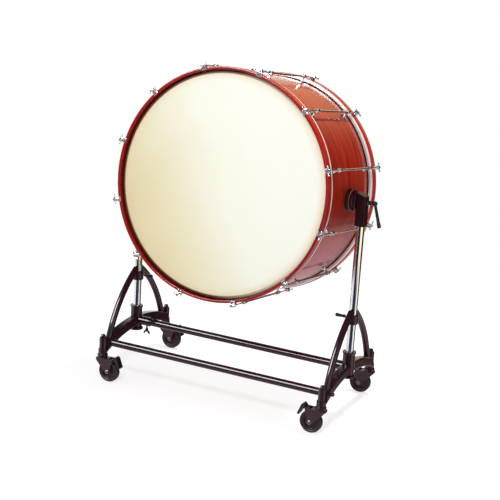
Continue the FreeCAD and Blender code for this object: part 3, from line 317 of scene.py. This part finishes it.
def tyre_rubber():
    """Dark rubber with dust and scuffs worn into the tread."""
    look = Look("tyre_rubber")
    place = look.place()
    dust = look.noise(place, 45.0, 6.0, 0.7, 0.4)
    pits = look.noise(place, 500.0, 3.0, 0.7)
    colour = look.ramp(dust, (0.35, (0.014, 0.004, 0.008)), (0.6, (0.028, 0.010, 0.017)),
                       (0.8, (0.065, 0.038, 0.048)))
    return look.finish(Base_Color=colour, Roughness=look.level(dust, 0.34, 0.58, 0.3, 0.7),
                       Normal=look.bump(look.math("MULTIPLY_ADD", dust, 0.6, pits), 0.2, 0.0004))


SHELL_WOOD = red_wood("shell_lacquer", (0.095, 0.003, 0.001), (0.30, 0.010, 0.002), (0.48, 0.036, 0.005),
                      0.16, 0.12, "ends")
HOOP_WOOD = red_wood("hoop_lacquer", (0.17, 0.003, 0.002), (0.40, 0.010, 0.003), (0.58, 0.030, 0.006),
                     0.10, 0.07, "inside")
MAPLE = bare_maple()
FILM = coated_film()
CHROME = bright_metal("chrome_plate", (0.88, 0.89, 0.90), 0.05)
ALUMINIUM = bright_metal("satin_aluminium", (0.96, 0.97, 0.97), 0.30, (1.0, 6.0, 1.0), 0.42)
STEEL = bright_metal("zinc_plated_steel", (0.62, 0.61, 0.58), 0.22)
DULL_STEEL = bright_metal("blackened_steel", (0.24, 0.20, 0.22), 0.36)
STAND_PAINT = gloss_paint("stand_paint", (0.017, 0.004, 0.008), (0.16, 0.12, 0.12), 0.08)
CASTING_PAINT = gloss_paint("casting_paint", (0.014, 0.002, 0.003), (0.20, 0.15, 0.12), 0.12, 0.55)
CASTER_PAINT = gloss_paint("caster_paint", (0.026, 0.005, 0.011), (0.18, 0.14, 0.15), 0.20)
BLACK_PLASTIC = moulded_plastic("black_plastic", (0.008, 0.005, 0.007), 0.30)
HUB_PLASTIC = moulded_plastic("hub_plastic", (0.020, 0.005, 0.010), 0.32)
FIBRE = moulded_plastic("friction_fibre", (0.16, 0.07, 0.035), 0.7, 260.0)
RUBBER = tyre_rubber()

LOOKS = {
    "shell": SHELL_WOOD, "reinforcing_rings": MAPLE, "front_hoop": HOOP_WOOD, "rear_hoop": HOOP_WOOD,
    "front_head": FILM, "rear_head": FILM, "front_flesh_hoop": ALUMINIUM, "rear_flesh_hoop": ALUMINIUM,
    "lug_posts": CHROME, "lug_tubes": CHROME, "lug_screws": STEEL, "claws": CHROME, "tension_rods": CHROME,
    "trunnions": CASTING_PAINT, "backing_plates": STEEL, "trunnion_bolts": STEEL, "friction_washers": FIBRE,
    "collar_bushes": BLACK_PLASTIC, "crossbar_bolts": BLACK_PLASTIC,
}
ENDINGS = {
    "_post": CHROME, "_post_head": CASTING_PAINT, "_friction_disc": CASTING_PAINT,
    "_tilt_lever": BLACK_PLASTIC, "_collar_screw": BLACK_PLASTIC, "_crossbar_screw": BLACK_PLASTIC,
    "_fork": CASTER_PAINT, "_axle": DULL_STEEL, "_wheel_hub": HUB_PLASTIC, "_tyre": RUBBER,
    "_brake_pedal": BLACK_PLASTIC,
}


def look_for(node):
    """The material of a CAD node; the stand's own paint is the usual one."""
    if node in LOOKS:
        return LOOKS[node]
    for ending, material in ENDINGS.items():
        if node.endswith(ending):
            return material
    return STAND_PAINT


def round_edges(item, width, segments):
    """Rounds an object's sharp edges with a modifier."""
    bevel = item.modifiers.new("edge_round", "BEVEL")
    bevel.width = width
    bevel.segments = segments
    bevel.limit_method = "ANGLE"
    bevel.angle_limit = math.radians(32)
    bevel.harden_normals = True


def dress_cad_nodes():
    """Gives every CAD node its material, smooth shading and a little roundness on its edges."""
    for name, item in NODES.items():
        item.data.materials.clear()
        item.data.materials.append(look_for(name))
        for face in item.data.polygons:
            face.use_smooth = True
        round_edges(item, 0.6 * MM, 2)


dress_cad_nodes()

# ---------------------------------------------------------------- mesh tools

def round_point(place, radius, height, part):
    """A point at a radius about the local Z axis of place, a part of the way round."""
    angle = 2 * math.pi * part
    return place @ Vector((radius * math.cos(angle), radius * math.sin(angle), height))


def thread_cut(thread, height, part):
    """How deep a (first height, last height, pitch, depth) screw thread cuts at a point."""
    first, last, pitch, depth = thread
    if not first < height < last:
        return 0.0
    phase = (height / pitch - part) % 1.0
    return depth * abs(2 * phase - 1)


def add_lathe(mesh, profile, place, steps, thread=None):
    """Turns a (radius, height) profile about the local Z axis of place, closed at both ends."""
    rings = []
    for radius, height in profile:
        if radius == 0:
            rings.append([mesh.verts.new(place @ Vector((0, 0, height)))])
            continue
        ring = []
        for step in range(steps):
            part = step / steps
            cut = thread_cut(thread, height, part) if thread else 0.0
            ring.append(mesh.verts.new(round_point(place, radius - cut, height, part)))
        rings.append(ring)
    for low, high in zip(rings, rings[1:]):
        for step in range(steps):
            after = (step + 1) % steps
            corners = [low[step % len(low)], low[after % len(low)],
                       high[after % len(high)], high[step % len(high)]]
            distinct = list(dict.fromkeys(corners))
            if len(distinct) > 2:
                mesh.faces.new(distinct)
    for ring, flip in ((rings[0], True), (rings[-1], False)):
        if len(ring) > 1:
            mesh.faces.new(list(reversed(ring)) if flip else ring)


def add_ring(mesh, section, place, steps):
    """Turns a closed (radius, height) section about the local Z axis of place."""
    rings = []
    for step in range(steps):
        rings.append([mesh.verts.new(round_point(place, radius, height, step / steps))
                      for radius, height in section])
    for step, ring in enumerate(rings):
        after = rings[(step + 1) % steps]
        for index in range(len(section)):
            beyond = (index + 1) % len(section)
            mesh.faces.new((ring[index], after[index], after[beyond], ring[beyond]))


def add_slab(mesh, outline, place):
    """A closed outline of (y, z, half width) corners, given its width both ways along X."""
    near = [mesh.verts.new(place @ Vector((half, y, z))) for y, z, half in outline]
    far = [mesh.verts.new(place @ Vector((-half, y, z))) for y, z, half in outline]
    mesh.faces.new(near)
    mesh.faces.new(list(reversed(far)))
    for index in range(len(outline)):
        after = (index + 1) % len(outline)
        mesh.faces.new((near[index], far[index], far[after], near[after]))


def make_piece(name, mesh, material, body, replaced, bevel=0.0):
    """Finishes a mesh into a named piece that rides on a CAD body in place of a CAD node."""
    bmesh.ops.triangulate(mesh, faces=[face for face in mesh.faces if len(face.verts) > 4])
    bmesh.ops.recalc_face_normals(mesh, faces=mesh.faces)
    data = bpy.data.meshes.new(name)
    mesh.to_mesh(data)
    mesh.free()
    for face in data.polygons:
        face.use_smooth = True
    data.set_sharp_from_angle(angle=math.radians(38))
    data.materials.append(material)
    item = bpy.data.objects.new(name, data)
    bpy.context.scene.collection.objects.link(item)
    if bevel:
        round_edges(item, bevel, 3)
    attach(item, body)
    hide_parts(replaced)


def arc(centre, radius, start, end, steps=5):
    """Points on an arc, in degrees, as (across, up) pairs."""
    points = []
    for step in range(steps + 1):
        angle = math.radians(start + (end - start) * step / steps)
        points.append((centre[0] + radius * math.cos(angle), centre[1] + radius * math.sin(angle)))
    return points


# ---------------------------------------------------------------- drum pieces

HEAD_STEPS = 256


def make_heads():
    """The film: flat, with a faint formed step, bent over the shell's edge into its collar."""
    for end in ENDS:
        low, high, _ = measure(f"{end}_head", along_axis(end))
        film = 0.9 * MM
        top, foot, outer = high.z, low.z, high.x
        bend = 9 * MM
        step = outer - bend - 8 * MM
        lift = 0.3 * MM
        profile = [(0, top), (outer * 0.3, top), (outer * 0.6, top), (step - MM, top), (step, top + lift),
                   (step + 3 * MM, top + lift), (step + 4 * MM, top)]
        profile += arc((outer - bend, top - bend), bend, 90, 0, 8)
        profile += [(outer, foot), (outer - film, foot)]
        profile += arc((outer - bend, top - bend), bend - film, 0, 90, 8)
        profile += [(outer * 0.5, top - film), (0, top - film)]
        mesh = bmesh.new()
        add_lathe(mesh, profile, along_axis(end), HEAD_STEPS)
        make_piece(f"{end}_coated_head", mesh, FILM, "drum", f"{end}_head")


def make_hoops():
    """Counterhoops: a softly rounded face and a shallow bead above the flesh hoop."""
    for end in ENDS:
        soft = 3.5 * MM
        bead = 2.4 * MM
        section = [(HOOP_INSIDE, HOOP_BACK + MM)]
        section += arc((HOOP_INSIDE + soft, HOOP_FACE - soft), soft, 180, 90)
        section += arc((HOOP_OUTSIDE - soft, HOOP_FACE - soft), soft, 90, 0)
        section += [(HOOP_OUTSIDE, HOOP_BACK + 4 * bead), (HOOP_OUTSIDE - MM, HOOP_BACK + 3.5 * bead),
                    (HOOP_OUTSIDE - MM, HOOP_BACK + 3 * bead), (HOOP_OUTSIDE, HOOP_BACK + 2.5 * bead)]
        section += arc((HOOP_OUTSIDE - bead, HOOP_BACK + bead), bead, 0, -90)
        section += [(HOOP_INSIDE + MM, HOOP_BACK)]
        mesh = bmesh.new()
        add_ring(mesh, section, along_axis(end), HEAD_STEPS)
        make_piece(f"{end}_counterhoop", mesh, HOOP_WOOD, "drum", f"{end}_hoop")


def make_flesh_hoops():
    """Bright flesh hoops whose outer edges are well rounded."""
    for end in ENDS:
        low, high, inner = measure(f"{end}_flesh_hoop", along_axis(end))
        outer, back, face = high.x, low.z, high.z
        soft = 3.6 * MM
        section = [(inner, back + MM), (inner, face - MM)]
        section += arc((outer - soft, face - soft), soft, 90, 0)
        section += arc((outer - soft, back + soft), soft, 0, -90)
        mesh = bmesh.new()
        add_ring(mesh, section, along_axis(end), HEAD_STEPS)
        make_piece(f"{end}_bright_flesh_hoop", mesh, ALUMINIUM, "drum", f"{end}_flesh_hoop")


def make_claws():
    """Cast claws: a waisted plate over the hoop's face, a deep boss and a tapering tail."""
    face, top = CLAW_FACE, ROD_PLACE + 8 * MM
    plate = 3.3 * MM
    wide, waist, tail = 10 * MM, 7.5 * MM, 6 * MM
    inner = HOOP_INSIDE + 2.5 * MM
    hoop_top = HOOP_OUTSIDE + 0.1 * MM
    outline = [
        (face - plate + 0.1 * MM, inner, wide), (face - 1.6 * MM, inner - 0.4 * MM, wide),
        (face - 0.2 * MM, inner + 1.6 * MM, wide), (face, inner + 6 * MM, waist + MM),
        (face, ROD_PLACE - 5 * MM, waist), (face, ROD_PLACE - MM, wide - MM),
        (face - MM, top - 2 * MM, wide - 2 * MM), (face - 3 * MM, top, waist),
        (face - 11 * MM, top, waist), (face - 14 * MM, top - 2 * MM, waist),
        (face - 15.5 * MM, ROD_PLACE - MM, waist), (face - 19 * MM, hoop_top + 5 * MM, waist),
        (face - 26 * MM, hoop_top + 3.4 * MM, tail), (face - 32 * MM, hoop_top + 2.8 * MM, tail - MM),
        (face - 33 * MM, hoop_top + MM, tail - 2 * MM), (face - 32.6 * MM, hoop_top, tail - 2 * MM),
        (face - 20 * MM, hoop_top, waist), (face - plate + 0.1 * MM, hoop_top, wide)]
    mesh = bmesh.new()
    for place in all_stations():
        add_slab(mesh, outline, place)
    make_piece("claw_hooks", mesh, CHROME, "drum", "claws", bevel=0.9 * MM)


def make_tension_rods():
    """Threaded rods with a washer, a shoulder and a T-grip whose ends swell into knobs."""
    tip = measure("tension_rods", station(0, "rear"))[1].y
    inner_end, grip = LUG_END - 32 * MM, tip - 7 * MM
    rod, half = 3.2 * MM, 21 * MM
    pitch, depth = 1.5 * MM, 0.55 * MM
    first, last = LUG_END, HOOP_BACK + 8 * MM
    shaft = [(0, inner_end), (rod, inner_end)]
    shaft += [(rod, first + pitch * turn / 3) for turn in range(int(3 * (last - first) / pitch))]
    shaft += [(rod, last + MM), (rod, CLAW_FACE + 0.1 * MM), (7.2 * MM, CLAW_FACE + 0.1 * MM),
              (7.6 * MM, CLAW_FACE + 0.8 * MM), (7.2 * MM, CLAW_FACE + 1.8 * MM),
              (5.2 * MM, CLAW_FACE + 2.4 * MM), (4.4 * MM, CLAW_FACE + 5 * MM),
              (4.6 * MM, grip - 8 * MM), (6.2 * MM, grip - 4.5 * MM), (6.6 * MM, grip),
              (6.2 * MM, grip + 4 * MM), (4.4 * MM, grip + 6.4 * MM), (0, tip)]
    swell = 4.2 * MM
    knob = half - swell
    bar = [(0, -half)] + arc((0, -knob), swell, -75, 30)
    bar += [(3.0 * MM, -knob + 5.5 * MM), (2.7 * MM, -8 * MM), (3.4 * MM, -5 * MM)]
    bar += [(radius, -height) for radius, height in reversed(bar)]
    mesh = bmesh.new()
    for place in all_stations():
        along = place @ Matrix.Translation((0, 0, ROD_PLACE)) @ Matrix.Rotation(math.radians(-90), 4, "X")
        add_lathe(mesh, shaft, along, 12, (first, last, pitch, depth))
        across = place @ Matrix.Translation((0, grip, ROD_PLACE)) @ Matrix.Rotation(math.radians(90), 4, "Y")
        add_lathe(mesh, bar, across, 16)
    make_piece("t_grip_rods", mesh, CHROME, "drum", "tension_rods")


def make_lug_posts():
    """Turned lugs: a flared foot, a narrow neck and a cup at each end of a cross barrel."""
    foot = SHELL_OUTSIDE + 0.3 * MM
    middle = ROD_PLACE
    neck, bore, reach = 5.2 * MM, 4.6 * MM, 12 * MM
    spread = LUG_END - reach
    stem = [(0, foot), (11 * MM, foot), (11 * MM, foot + 1.6 * MM), (10.2 * MM, foot + 2.6 * MM),
            (8.2 * MM, foot + 4 * MM), (6.4 * MM, foot + 7 * MM), (neck, foot + 11 * MM),
            (neck, foot + 19 * MM), (6.0 * MM, foot + 23 * MM), (6.6 * MM, middle - 4 * MM),
            (0, middle - 3 * MM)]
    cup = [(bore, -reach), (7.6 * MM, -reach), (8.3 * MM, -reach + MM), (8.1 * MM, -reach + 2.4 * MM),
           (6.8 * MM, -reach + 5 * MM), (6.4 * MM, -3 * MM), (6.9 * MM, 0), (6.4 * MM, 3 * MM),
           (6.8 * MM, reach - 5 * MM), (8.1 * MM, reach - 2.4 * MM), (8.3 * MM, reach - MM),
           (7.6 * MM, reach), (bore, reach)]
    mesh = bmesh.new()
    for place in all_stations():
        add_lathe(mesh, stem, place @ Matrix.Translation((0, spread, 0)), 28)
        barrel = place @ Matrix.Translation((0, spread, middle)) @ Matrix.Rotation(math.radians(90), 4, "X")
        add_ring(mesh, cup, barrel, 28)
    make_piece("turned_lugs", mesh, CHROME, "drum", "lug_posts")


make_heads()
make_hoops()
make_flesh_hoops()
make_claws()
make_tension_rods()
make_lug_posts()


# ---------------------------------------------------------------- stand and caster pieces

BORE = 6.1 * MM


def both_sides(half):
    """A (radius, height) outline carried on by its mirror image below the middle."""
    return half + [(radius, -height) for radius, height in reversed(half)]


def hub_section(rim):
    """A boss, a thin web with one raised ring, and a lip under the tyre."""
    boss, web, lip = 16 * MM, 4.4 * MM, 11 * MM
    return both_sides([
        (BORE, boss), (11 * MM, boss), (12 * MM, boss - MM), (12.4 * MM, 7 * MM), (14 * MM, 5 * MM),
        (18 * MM, web), (18.6 * MM, 6 * MM), (20.6 * MM, 6 * MM), (21.2 * MM, web),
        (25.5 * MM, web), (27.5 * MM, 6.5 * MM), (28.5 * MM, lip - MM), (30 * MM, lip), (rim, lip)])


def tyre_section(rim, tread):
    """A ringed side wall, a round shoulder and a groove each side of the tread's middle."""
    half, shoulder = 13 * MM, 6 * MM
    groove = tread - 0.7 * MM
    side = [(rim + 0.1 * MM, half - 3 * MM), (rim + MM, half - 1.6 * MM), (rim + 3 * MM, half - 0.4 * MM),
            (rim + 4 * MM, half - 1.1 * MM), (rim + 5 * MM, half - 0.2 * MM), (tread - shoulder, half)]
    side += [(radius, height) for height, radius in
             arc((half - shoulder, tread - shoulder), shoulder, 12, 84, 6)]
    side += [(tread, 5.2 * MM), (groove, 4.8 * MM), (groove, 4.1 * MM), (tread, 3.7 * MM)]
    return both_sides(side)


def make_wheels():
    """Ringed hubs and tyres with rounded shoulders and two fine grooves in the tread."""
    for name in CASTERS:
        axle = Vector(JOINTS[f"{name}_roll"]["pos_m"])
        place = Matrix.Translation(axle) @ Matrix.Rotation(math.radians(90), 4, "X")
        rim, tread = 33.9 * MM, axle.z
        mesh = bmesh.new()
        add_ring(mesh, hub_section(rim), place, 72)
        make_piece(f"{name}_ringed_hub", mesh, HUB_PLASTIC, f"{name}_wheel_body", f"{name}_wheel_hub")
        mesh = bmesh.new()
        add_ring(mesh, tyre_section(rim, tread), place, 96)
        make_piece(f"{name}_treaded_tyre", mesh, RUBBER, f"{name}_wheel_body", f"{name}_tyre")


def make_tilt_levers():
    """Clamping levers: a collar on the pin, a neck, a ball and a handle that swells at its tip."""
    face, ball = 20.1 * MM, 53 * MM
    neck_end = face + 20.4 * MM
    ball_radius = 10.5 * MM
    collar = [(BORE, face), (11.5 * MM, face), (12 * MM, face + MM), (12 * MM, face + 3 * MM),
              (10.5 * MM, face + 4.5 * MM), (8.6 * MM, face + 6 * MM), (8 * MM, face + 12 * MM),
              (7.8 * MM, neck_end), (BORE, neck_end)]
    knob = [(0, neck_end + 0.6 * MM), (7.8 * MM, neck_end + 0.6 * MM), (7.6 * MM, ball - 7.6 * MM)]
    knob += [(radius, ball + height) for height, radius in arc((0, 0), ball_radius, 134, 25, 9)]
    knob += [(3.6 * MM, ball + 9.9 * MM), (3 * MM, ball + 9.3 * MM), (0, ball + 9.3 * MM)]
    grip = [(0, -100 * MM), (5 * MM, -100 * MM), (7.3 * MM, -98.6 * MM), (8 * MM, -96 * MM),
            (7.8 * MM, -86 * MM), (7.2 * MM, -81 * MM), (6.6 * MM, -74 * MM), (6.2 * MM, -40 * MM),
            (6.0 * MM, -14 * MM), (6.4 * MM, -8 * MM), (0, -7 * MM)]
    for side in SIDES:
        sign = 1 if side == "right" else -1
        block = Vector(JOINTS[f"{side}_tilt_lever_turn"]["pos_m"])
        pin = Matrix.Translation(block) @ Matrix.Rotation(math.radians(90 * sign), 4, "Y")
        painted_side_shade = Matrix.Rotation(math.radians(-16 * sign), 4, "Y")
        handle = Matrix.Translation(block + Vector((sign * ball, 0, 0))) @ painted_side_shade
        mesh = bmesh.new()
        add_ring(mesh, collar, pin, 40)
        add_lathe(mesh, knob, pin, 40)
        add_lathe(mesh, grip, handle, 32)
        make_piece(f"{side}_clamp_lever", mesh, BLACK_PLASTIC, f"{side}_tilt_lever_body",
                   f"{side}_tilt_lever")


make_wheels()
make_tilt_levers()

# ---------------------------------------------------------------- studio

VIEW_TURN = math.radians(25.6)
VIEW_RISE = math.radians(14.7)
VIEW_ROLL = math.radians(3.72)
VIEW_PLACE = (2.160, -4.445, 1.919)
FLOOR_REACH = 120.0


def make_floor():
    """A wide pale floor that fades to white away from the stand and keeps faint shadows."""
    mesh = bpy.data.meshes.new("studio_floor")
    corners = [(FLOOR_REACH * x, FLOOR_REACH * y, 0) for x, y in ((-1, -1), (1, -1), (1, 1), (-1, 1))]
    mesh.from_pydata(corners, [], [(0, 1, 2, 3)])
    floor = bpy.data.objects.new("studio_floor", mesh)
    bpy.context.scene.collection.objects.link(floor)
    floor.visible_glossy = False
    look = Look("studio_floor")
    place = look.place()
    mottle = look.noise(place, 1.5, 3.0)
    look.finish(Base_Color=look.ramp(mottle, (0.3, (0.50, 0.50, 0.50)), (0.7, (0.53, 0.53, 0.53))),
                Roughness=look.level(mottle, 0.6, 0.75), Specular_IOR_Level=0.0,
                Emission_Color=(1.0, 1.0, 1.0, 1.0), Emission_Strength=0.70)
    distance = look.add("VectorMath", {"operation": "LENGTH"}, in_0=place).outputs["Value"]
    white = look.add("Emission", None, Strength=1.0).outputs[0]
    far = look.level(distance, 0.0, 1.0, 1.3, 2.6)
    fade = look.add("MixShader", None, in_0=far, in_1=look.shader.outputs[0], in_2=white)
    output = next(node for node in look.tree.nodes if node.type == "OUTPUT_MATERIAL")
    look.tree.links.new(fade.outputs[0], output.inputs["Surface"])
    mesh.materials.append(look.material)


def make_world():
    """White to the camera; reflections see a pale room with a dark side, a warm screen and a dark ceiling."""
    world = bpy.data.worlds.new("studio")
    bpy.context.scene.world = world
    world.use_nodes = True
    world.node_tree.nodes.clear()
    room = Nodes(world.node_tree)
    x, y, z = room.add("SeparateXYZ", None, Vector=room.add("TexCoord").outputs["Generated"]).outputs
    turn = room.level(room.math("ARCTAN2", x, room.math("MULTIPLY", y, -1.0)), 0.0, 1.0, -math.pi, math.pi)
    white, half, cream = (1.0, 1.0, 1.0), (0.72, 0.50, 0.29), (1.25, 1.1, 0.72)
    navy, night, screen = (0.012, 0.026, 0.05), (0.015, 0.012, 0.016), (0.20, 0.20, 0.21)
    ceiling, ground, lamplight = (0.05, 0.045, 0.05, 1.0), (0.62, 0.48, 0.53, 1.0), (0.44, 0.44, 0.44, 1.0)

    def bands(*front):
        """Colours round the room: the same back and dark side, and a front of its own."""
        return room.ramp(turn, (0.0, half), (0.045, half), (0.075, white), *front,
                         (0.955, night), (1.0, half))

    middle = bands((0.31, white), (0.34, navy), (0.59, navy), (0.615, cream), (0.75, cream), (0.775, night))
    low = bands((0.44, white), (0.47, navy), (0.68, navy), (0.71, white), (0.80, white), (0.83, night))
    high = bands((0.31, white), (0.36, screen), (0.57, screen), (0.615, white), (0.75, white), (0.775, night))
    seen = room.mix(room.level(z, 0.0, 1.0, -0.255, -0.280), middle, low)
    seen = room.mix(room.level(z, 0.0, 1.0, -0.17, -0.07), seen, high)
    seen = room.mix(room.level(z, 0.0, 1.0, 0.40, 0.62), seen, ceiling)
    seen = room.mix(room.level(z, 0.0, 1.0, -0.32, -0.46), seen, ground)
    path = room.add("LightPath").outputs
    colour = room.mix(path["Is Glossy Ray"], lamplight, seen)
    lit = room.add("Background", None, Color=colour, Strength=1.0).outputs[0]
    blank = room.add("Background", None, Color=(1.0, 1.0, 1.0, 1.0), Strength=1.0).outputs[0]
    shown = room.add("MixShader", None, in_0=path["Is Camera Ray"], in_1=lit, in_2=blank)
    room.add("OutputWorld", None, Surface=shown.outputs[0])


def area_light(name, place, target, size, power):
    """A rectangular lamp aimed at a point."""
    data = bpy.data.lights.new(name, "AREA")
    data.shape = "RECTANGLE"
    data.size, data.size_y = size
    data.energy = power
    item = bpy.data.objects.new(name, data)
    item.location = place
    item.rotation_euler = (Vector(target) - item.location).to_track_quat("-Z", "Y").to_euler()
    bpy.context.scene.collection.objects.link(item)
    return item


def make_camera():
    """The picture's viewing angle, with its slight roll."""
    reach = math.cos(VIEW_RISE)
    back = Vector((reach * math.sin(VIEW_TURN), -reach * math.cos(VIEW_TURN), math.sin(VIEW_RISE)))
    level_right = Vector((math.cos(VIEW_TURN), math.sin(VIEW_TURN), 0))
    level_up = back.cross(level_right)
    right = math.cos(VIEW_ROLL) * level_right + math.sin(VIEW_ROLL) * level_up
    up = math.cos(VIEW_ROLL) * level_up - math.sin(VIEW_ROLL) * level_right
    data = bpy.data.cameras.new("camera")
    data.sensor_width = 36
    data.lens = 86.1
    camera = bpy.data.objects.new("camera", data)
    turned = Matrix((right, up, back)).transposed().to_4x4()
    camera.matrix_world = Matrix.Translation(VIEW_PLACE) @ turned
    bpy.context.scene.collection.objects.link(camera)
    bpy.context.scene.camera = camera


def make_lights():
    """Two lamps that light but aren't reflected, and a soft box that is only reflected."""
    drum = (0, 0, 0.8)
    area_light("key_light", (0.9, -3.4, 3.6), drum, (0.8, 0.8), 63).visible_glossy = False
    area_light("front_box", (-1.8, -3.1, 2.9), (-1.8, 0, 0.2), (2.4, 1.8), 240).visible_diffuse = False
    area_light("top_light", (0.8, 0.8, 4.2), drum, (0.6, 0.6), 125).visible_glossy = False


make_floor()
make_world()
make_lights()
make_camera()
bpy.context.scene.view_settings.view_transform = "Standard"
